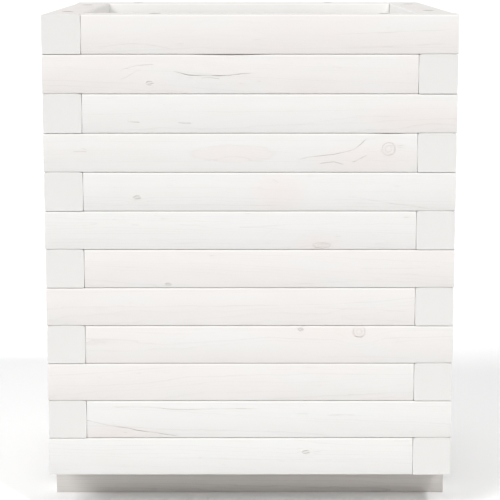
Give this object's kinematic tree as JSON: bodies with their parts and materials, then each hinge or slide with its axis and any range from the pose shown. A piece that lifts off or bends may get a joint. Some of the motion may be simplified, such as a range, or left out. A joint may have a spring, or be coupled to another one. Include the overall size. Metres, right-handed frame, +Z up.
{
  "type": "wooden planter",
  "caption": "Square free-standing wooden planter of stacked battens crossing at the corners, with an open top and a slatted floor carried on skids.",
  "frame": {"origin": "on the ground under the centre of the planter, in the plane of the skids' undersides", "axes": "+Z up, the front face towards -Y, +X to the right as seen from the front"},
  "size_m": [0.4, 0.4, 0.494],
  "materials": {
    "wall_pine": "white wash, matt",
    "skid_pine": "white wash, matt",
    "floor_pine": "white wash, matt",
    "zinc_plated_steel": "zinc plated"
  },
  "bodies": {
    "root": {"back_skid": "skid_pine", "butt_end_screws": "zinc_plated_steel", "corner_screws": "zinc_plated_steel", "course_01_back_batten": "wall_pine", "course_01_front_batten": "wall_pine", "course_01_left_batten": "wall_pine", "course_01_right_batten": "wall_pine", "course_02_back_batten": "wall_pine", "course_02_front_batten": "wall_pine", "course_02_left_batten": "wall_pine", "course_02_right_batten": "wall_pine", "course_03_back_batten": "wall_pine", "course_03_front_batten": "wall_pine", "course_03_left_batten": "wall_pine", "course_03_right_batten": "wall_pine", "course_04_back_batten": "wall_pine", "course_04_front_batten": "wall_pine", "course_04_left_batten": "wall_pine", "course_04_right_batten": "wall_pine", "course_05_back_batten": "wall_pine", "course_05_front_batten": "wall_pine", "course_05_left_batten": "wall_pine", "course_05_right_batten": "wall_pine", "course_06_back_batten": "wall_pine", "course_06_front_batten": "wall_pine", "course_06_left_batten": "wall_pine", "course_06_right_batten": "wall_pine", "course_07_back_batten": "wall_pine", "course_07_front_batten": "wall_pine", "course_07_left_batten": "wall_pine", "course_07_right_batten": "wall_pine", "course_08_back_batten": "wall_pine", "course_08_front_batten": "wall_pine", "course_08_left_batten": "wall_pine", "course_08_right_batten": "wall_pine", "course_09_back_batten": "wall_pine", "course_09_front_batten": "wall_pine", "course_09_left_batten": "wall_pine", "course_09_right_batten": "wall_pine", "course_10_back_batten": "wall_pine", "course_10_front_batten": "wall_pine", "course_10_left_batten": "wall_pine", "course_10_right_batten": "wall_pine", "course_11_back_batten": "wall_pine", "course_11_front_batten": "wall_pine", "course_11_left_batten": "wall_pine", "course_11_right_batten": "wall_pine", "course_12_back_batten": "wall_pine", "course_12_front_batten": "wall_pine", "course_12_left_batten": "wall_pine", "course_12_right_batten": "wall_pine", "floor_board_1": "floor_pine", "floor_board_2": "floor_pine", "floor_board_3": "floor_pine", "floor_board_4": "floor_pine", "floor_board_5": "floor_pine", "floor_board_screws": "zinc_plated_steel", "front_skid": "skid_pine", "rim_screws": "zinc_plated_steel", "skid_screws": "zinc_plated_steel"}
  },
  "joints": []
}
